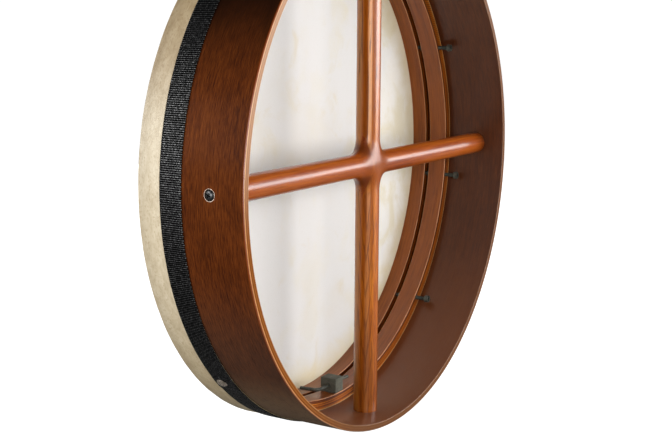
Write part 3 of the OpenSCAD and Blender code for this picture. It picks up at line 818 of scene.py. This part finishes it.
hv, hf = head_shape(30)
tv, tf = thread(35.8, 1.99, 1.60, 0.7)
bm = bmesh.new()
vs = [bm.verts.new(Vector((p[0], p[1], p[2] + 0.8)) * MM) for p in tv]
for q in tf:
    try:
        bm.faces.new([vs[k] for k in q])
    except ValueError:
        pass
bmesh.ops.remove_doubles(bm, verts=bm.verts, dist=2e-6)
bmesh.ops.dissolve_degenerate(bm, edges=bm.edges, dist=1e-6)
bmesh.ops.delete(bm, geom=[v for v in bm.verts if not v.link_faces], context="VERTS")
close_holes(bm)
shank = finish_mesh("cut_shank", bm, None)
pattern = boolean(build("screw_pattern", [(hv, hf, Matrix.Identity(4))], None), [shank], "UNION", 30)
screws = []
for i, (x, z) in enumerate(screw_at):
    M = place(x, 50.2 - GRIP, z, (0, -1, 0), (1, 0, 0)) @ Matrix.Rotation(0.7 * i, 4, "Z")
    M.translation = M.translation * MM
    bm = bmesh.new()
    bm.from_mesh(pattern.data)
    bm.transform(M)
    screws.append(finish_mesh(f"tuning_screw_{i + 1:02d}_m4", bm, STEEL, 30))
bpy.data.objects.remove(pattern)

# ------------------------------------------------------------------ grip cross
U, V, FIL, HUB, END = 10.6, 10.3, 10.5, 7.0, 222.98


def hub_field(x, y, z):
    """Below zero inside the two round bars joined by rolled fillets."""
    pa, pb = np.hypot(x, y), np.hypot(y, z)
    a, b = pa - U, pb - V
    c = np.clip(y * y / np.maximum(pa * pb, 1e-9), -1, 1)
    k = HUB + 4 * FIL * (1 - np.sqrt((1 + c) / 2))
    h = np.maximum(k - np.abs(a - b), 0) / k
    return np.minimum(a, b) - h * h * k / 4


def arm(sign, along_x):
    """Rows of points of one arm, from the diagonal planes to its scribed end."""
    m = 72
    phi = (np.arange(m) + 0.0) * 2 * math.pi / m
    own = V if along_x else U

    def at(s, rho):
        y, w = rho * np.cos(phi), rho * np.sin(phi)
        return (s, y, w) if along_x else (w, y, s)

    def solve(s_of):
        lo, hi = np.full(m, 0.5 * own), np.full(m, 29.0)
        return lo, hi
    # the start curve, where the arm meets its neighbours on the diagonal planes
    lo, hi = np.full(m, 5.0), np.full(m, 29.0)
    for _ in range(50):
        mid = (lo + hi) / 2
        s = np.abs(mid * np.sin(phi))
        f = hub_field(*at(s, mid))
        lo, hi = np.where(f < 0, mid, lo), np.where(f < 0, hi, mid)
    rho0 = (lo + hi) / 2
    s0 = np.abs(rho0 * np.sin(phi))
    rows = [(s0, rho0)]
    hub = 29.0
    for t in np.linspace(0, 1, 23)[1:]:
        s = s0 + (hub - s0) * (0.55 * t + 0.45 * t * t)
        lo = np.full(m, 0.8 * own)
        hi = np.minimum(s / np.maximum(np.abs(np.sin(phi)), 1e-6) + 1e-6, 28.0)
        for _ in range(44):
            mid = (lo + hi) / 2
            f = hub_field(*at(s, mid))
            lo, hi = np.where(f < 0, mid, lo), np.where(f < 0, hi, mid)
        rows.append((s, (lo + hi) / 2))
    w = own * np.sin(phi)
    s_end = np.sqrt(END ** 2 - w ** 2)
    for t in np.linspace(0, 1, 34)[1:]:
        rows.append((hub + (s_end - hub) * t, np.full(m, own)))
    for q in (0.97, 0.6, 0.25):
        rows.append((np.sqrt(END ** 2 - (q * w) ** 2), np.full(m, own * q)))
    out = []
    for s, rho in rows:
        x, y, z = at(s, rho)
        if along_x:
            out.append(np.stack([sign * x, y, z], -1))
        else:
            out.append(np.stack([x, y, sign * z], -1))
    tip = (sign * END, 0, 0) if along_x else (0, 0, sign * END)
    return np.array(out), tip


def cross_mesh():
    bm = bmesh.new()
    for sign, along_x in ((1, True), (-1, True), (1, False), (-1, False)):
        P, tip = arm(sign, along_x)
        rows, m = P.shape[:2]
        vs = [[bm.verts.new(tuple(p * MM)) for p in row] for row in P]
        c = bm.verts.new(tuple(np.array(tip) * MM))
        for k in range(rows - 1):
            for j in range(m):
                j2 = (j + 1) % m
                bm.faces.new((vs[k][j], vs[k][j2], vs[k + 1][j2], vs[k + 1][j]))
        for j in range(m):
            bm.faces.new((vs[-1][j], vs[-1][(j + 1) % m], c))
    bmesh.ops.remove_doubles(bm, verts=bm.verts, dist=4e-6)
    bmesh.ops.triangulate(bm, faces=bm.faces)
    return finish_mesh("cross", bm, None, 50)


def block_cutter(name, boxes):
    """Axis-aligned boxes joined into one closed cutter by an exact union."""
    objs = []
    for k, (lo, hi) in enumerate(boxes):
        bm = bmesh.new()
        bmesh.ops.create_cube(bm, size=1.0)
        for v in bm.verts:
            v.co = Vector([(lo[i] + hi[i]) / 2 * MM + v.co[i] * (hi[i] - lo[i]) * MM for i in range(3)])
        objs.append(finish_mesh(f"{name}{k}", bm, None))
    return boolean(objs[0], objs[1:], "UNION") if len(objs) > 1 else objs[0]


cross_u = cross_mesh()
cross_l = link(bpy.data.objects.new("cross_l", cross_u.data.copy()))
boxes = [((-10.6, -30, -260), (10.6, 0, 260)), ((-30, -0.0, 10.3), (30, 30, 260)), ((-30, -0.0, -260), (30, 30, -10.3))]
pilots = lambda tag: [rod(f"cut_p{tag}{k}", (dx * 194.0, 0, dz * 194.0), (dx, 0, dz), 1.95, 34, 28) for k, (dx, dz) in enumerate(((1, 0), (-1, 0), (0, 1), (0, -1)))]
upright = boolean(cross_u, [block_cutter("cut_u", boxes)], "INTERSECT", 42)
level = boolean(cross_l, [block_cutter("cut_v", boxes)], "DIFFERENCE", 42)
pu, pl = pilots("u"), pilots("l")
upright = boolean(upright, pu[2:], "DIFFERENCE", 42)
level = boolean(level, pl[:2], "DIFFERENCE", 42)
for c in pu[:2] + pl[2:]:
    bpy.data.objects.remove(c)
upright.name = upright.data.name = "upright_bar_carved"
level.name = level.data.name = "level_bar_carved"
for o, m in ((upright, UPWOOD), (level, LVWOOD)):
    o.data.materials.clear()
    o.data.materials.append(m)
    o.data.polygons.foreach_set("material_index", [0] * len(o.data.polygons))

# ------------------------------------------------------------------ bar screws
prof = [(0, -32.0), (0.9, -29.5), (1.85, -26.0), (1.9, -25.0), (1.9, -0.05), (4.1, 0.0), (4.32, 0.1), (4.4, 0.35), (4.38, 0.9), (4.15, 1.45), (3.7, 1.9), (3.0, 2.25), (2.0, 2.48), (1.0, 2.58), (0, 2.6)]
v, f = turned(prof, 64)
one = build("bar_screw_one", [(v, f, Matrix.Identity(4))], BLACK)
cross_cut = []
for k in range(2):
    bm = bmesh.new()
    bmesh.ops.create_cube(bm, size=1.0)
    for q in bm.verts:
        up = q.co.z > 0
        L, W = (2.35, 0.52) if up else (1.05, 0.34)
        sx, sy = (L, W) if k == 0 else (W, L)
        q.co = Vector(((1 if q.co.x > 0 else -1) * sx * MM, (1 if q.co.y > 0 else -1) * sy * MM, (3.0 if up else 0.9) * MM))
    cross_cut.append(finish_mesh(f"cut_x{k}", bm, None))
one = boolean(one, cross_cut, "DIFFERENCE", 34)
bm = bmesh.new()
for k, (dx, dz) in enumerate(((1, 0), (-1, 0), (0, 1), (0, -1))):
    M = place(dx * 227.22, 0, dz * 227.22, (dx, 0, dz), (0, 1, 0)) @ Matrix.Rotation(0.62 + 0.5 * k, 4, "Z")
    M.translation = M.translation * MM
    tmp = one.data.copy()
    tmp.transform(M)
    bm.from_mesh(tmp)
    bpy.data.meshes.remove(tmp)
bar_screws = finish_mesh("bar_screws_set", bm, BLACK, 34)
bpy.data.objects.remove(one)

# ------------------------------------------------------------------ key block
pts = []
for t in np.linspace(10, -3, 14):
    pts.append((t, -math.sqrt(212.98 ** 2 - t * t)))
pts += [(-3, -199.5), (10, -199.5)]
bm = bmesh.new()
lowf = [bm.verts.new((x * MM, (60.5 - GRIP) * MM, z * MM)) for x, z in pts]
hif = [bm.verts.new((x * MM, (76.5 - GRIP) * MM, z * MM)) for x, z in pts]
bm.faces.new(lowf)
bm.faces.new(hif)
for k in range(len(pts)):
    k2 = (k + 1) % len(pts)
    bm.faces.new((lowf[k], lowf[k2], hif[k2], hif[k]))
bmesh.ops.recalc_face_normals(bm, faces=bm.faces)
hard = [e for e in bm.edges if len(e.link_faces) == 2 and e.calc_face_angle() > math.radians(45)]
bmesh.ops.bevel(bm, geom=hard, offset=0.55 * MM, segments=3, profile=0.6, affect="EDGES")
block = finish_mesh("key_block_rubber", bm, RUBBER, 34)
block = boolean(block, [rod("cut_k", (-10, 68.4 - GRIP, -206.3), (1, 0, 0), 1.80, 30, 32)], "DIFFERENCE", 34)

# ------------------------------------------------------------------ hexagon key
KX1, KBR = 31.0, 4.2
bend_x = KX1 - 53.0 + 1.5 + KBR
hexr = 3.0 / math.sqrt(3)
sec = []
for k in range(6):
    c = math.radians(90 + 60 * k)
    for da in (-7.5, 0, 7.5):
        rr = hexr * (0.965 if da == 0 else 0.955)
        sec.append((rr * math.cos(c + math.radians(da)), rr * math.sin(c + math.radians(da))))
sec = np.array(sec)                     # (in-plane normal, Z)
path = []                               # (x, y, tangent x, tangent y, scale)
path += [(KX1, 0, -1, 0, 0.78), (KX1 - 0.35, 0, -1, 0, 1.0)]
for t in np.linspace(0, 1, 8)[1:]:
    path.append((KX1 - 0.35 + (bend_x - KX1 + 0.35) * t, 0, -1, 0, 1.0))
for t in np.linspace(0, math.pi / 2, 15)[1:]:
    path.append((bend_x - KBR * math.sin(t), KBR - KBR * math.cos(t), -math.cos(t), math.sin(t), 1.0))
y1 = 20.5 - 1.5
for t in np.linspace(0, 1, 6)[1:]:
    path.append((bend_x - KBR, KBR + (y1 - 0.35 - KBR) * t, 0, 1, 1.0))
path.append((bend_x - KBR, y1, 0, 1, 0.78))
rows = []
for px, py, tx, ty, s in path:
    nx, ny = -ty, tx
    rows.append([(px + s * n * nx, py + s * n * ny, s * b) for n, b in sec])
P = np.array(rows)
ca, sa = math.cos(math.radians(-3)), math.sin(math.radians(-3))


def tilt(q):
    return np.stack([q[..., 0], 37.4 + q[..., 1] * ca - q[..., 2] * sa, -206.3 + q[..., 1] * sa + q[..., 2] * ca], -1)


ends = tilt(np.array([[KX1, 0, 0], [bend_x - KBR, y1, 0]], float))
key = grid_mesh("hex_key_bent", tilt(P), STEEL, caps=(ends[0], ends[1]), sharp=32)

# ------------------------------------------------------------------ pieces onto bodies
for obj, body, slot, nodes in (
        (shell, "drum", "shell_wood", ["shell"]), (tape, "drum", "ribbed_tape", ["edge_tape"]), (tack, "drum", "nickel", ["tape_tack"]),
        (fixed, "drum", "hoop_wood", ["fixed_hoop"]), (tuning, "tuning_hoop", "hoop_wood", ["tuning_hoop"]), (tnuts, "drum", "black_steel", ["t_nuts"]),
        (upright, "drum", "bar_wood", ["upright_bar"]), (level, "drum", "bar_wood", ["level_bar"]), (bar_screws, "drum", "black_steel", ["bar_screws"]),
        (block, "drum", "block_rubber", ["key_block"]), (key, "hex_key", "black_steel", ["hex_key"])):
    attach(obj, body)
    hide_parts(*nodes)
for i, s in enumerate(screws):
    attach(s, f"tuning_screw_{i + 1:02d}")
    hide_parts(f"tuning_screw_{i + 1:02d}")
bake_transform(head)
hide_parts("head_skin")

# ------------------------------------------------------------------ floor, light
bm = bmesh.new()
bmesh.ops.create_circle(bm, cap_ends=True, segments=96, radius=9.0)
floor = finish_mesh("floor", bm, None)
floor.location = (0, 0, CAD_LO.z - 0.0004)
F = Mat("floor_white")
seen = F.new("ShaderNodeLightPath").outputs["Is Camera Ray"]
fs = F.principled(Base_Color=(0.25, 0.25, 0.25), Roughness=0.8, Specular_IOR_Level=0.1, Emission_Color=(1, 1, 1), Emission_Strength=F.math("MULTIPLY", seen, 1.0))
floor.data.materials.append(F.surface(fs))

world = bpy.data.worlds.new("studio")
bpy.context.scene.world = world
world.use_nodes = True
wt = world.node_tree
wt.nodes.clear()
wo = wt.nodes.new("ShaderNodeOutputWorld")
lp = wt.nodes.new("ShaderNodeLightPath")
b1, b2 = wt.nodes.new("ShaderNodeBackground"), wt.nodes.new("ShaderNodeBackground")
b1.inputs[0].default_value, b1.inputs[1].default_value = (0.97, 0.98, 1.0, 1), 0.10
b2.inputs[0].default_value, b2.inputs[1].default_value = (1, 1, 1, 1), 1.05
wm = wt.nodes.new("ShaderNodeMixShader")
wt.links.new(lp.outputs["Is Camera Ray"], wm.inputs[0])
wt.links.new(b1.outputs[0], wm.inputs[1])
wt.links.new(b2.outputs[0], wm.inputs[2])
wt.links.new(wm.outputs[0], wo.inputs[0])


def softbox(name, at, look, w, h, power, colour=(1, 1, 1), spread=180):
    d = bpy.data.lights.new(name, "AREA")
    d.shape, d.size, d.size_y, d.energy, d.color = "RECTANGLE", w, h, power, colour
    d.spread = math.radians(spread)
    o = link(bpy.data.objects.new(name, d))
    o.location = at
    o.rotation_mode = "QUATERNION"
    o.rotation_quaternion = (Vector(look) - Vector(at)).to_track_quat("-Z", "Y")
    return o


softbox("key_low", (1.62, -1.00, 0.15), (0, 0, 0.0), 0.6, 0.50, 6.8)
softbox("key_side", (1.02, -1.60, 0.24), (0, 0, 0.0), 1.05, 0.75, 30.0)
softbox("key_mid", (1.34, -1.34, 0.62), (0, 0, 0.0), 1.0, 0.65, 3.0)
softbox("right_mid", (0.30, -1.98, 0.40), (0, 0, 0.0), 1.8, 1.0, 13.0)
softbox("cam_low", (-1.30, -1.38, 0.25), (0, 0, 0), 1.1, 0.9, 17.0)
softbox("side_left", (-1.92, 0.16, -0.18), (-0.1, 0.0, -0.04), 0.7, 0.7, 31.0)
softbox("left_front", (-1.57, 0.92, 0.42), (0, 0.05, 0.0), 0.7, 0.7, 15.0)
softbox("skin_back", (0.45, 1.6, 0.35), (0, 0.07, 0.0), 1.2, 1.2, 13.0)
softbox("skin_right", (1.45, 1.2, 0.10), (0.1, 0.07, 0.0), 1.0, 1.0, 18.0)
